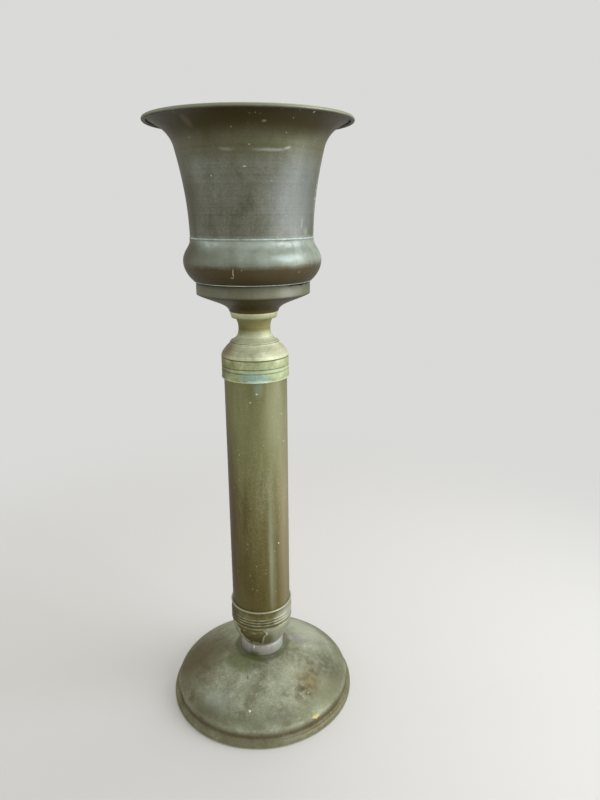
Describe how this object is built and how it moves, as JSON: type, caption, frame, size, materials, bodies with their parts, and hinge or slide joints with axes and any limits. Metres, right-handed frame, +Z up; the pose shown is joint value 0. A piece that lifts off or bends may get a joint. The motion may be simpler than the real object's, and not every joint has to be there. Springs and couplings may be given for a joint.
{
  "type": "umbrella stand",
  "caption": "Aged brass urn with a flared, wired rim on a round tube column between a waisted neck and a domed foot; sticks stand in the urn.",
  "frame": {"origin": "centre of the base's footprint, on the floor", "axes": "+Z up the column towards the urn's mouth; the piece is round, so X and Y are alike"},
  "size_m": [0.2444, 0.2444, 0.7299],
  "materials": {
    "spun_brass": "dark brown-olive patina, satin, with a blue-grey sheen and small white specks",
    "tube_brass": "olive-brown drawn tube, satin, darker towards the foot",
    "cast_brass": "pale yellow-green cast brass, matt, with blue-green verdigris in the grooves",
    "foot_brass": "olive brass, dull, brighter on the beads",
    "base_brass": "grey-green patina with brown and grey blotches, satin",
    "solder": "dull soft solder",
    "steel": "dull steel",
    "iron": "rough black casting"
  },
  "bodies": {
    "root": {"base_dome": "base_brass", "base_weight": "iron", "base_collar": "base_brass", "foot_cup": "foot_brass", "cup_solder": "solder", "foot_ferrule": "foot_brass", "column_tube": "tube_brass", "cap_ferrule": "cast_brass", "cap_dome": "cast_brass", "neck_spool": "cast_brass", "urn_dish": "spun_brass", "urn_bowl": "spun_brass", "urn_bell": "spun_brass", "rim_wire": "steel", "seam_bead": "solder", "upper_washer": "steel", "lower_washer": "steel", "upper_nut": "steel", "lower_nut": "steel", "tie_rod": "steel"}
  },
  "joints": []
}
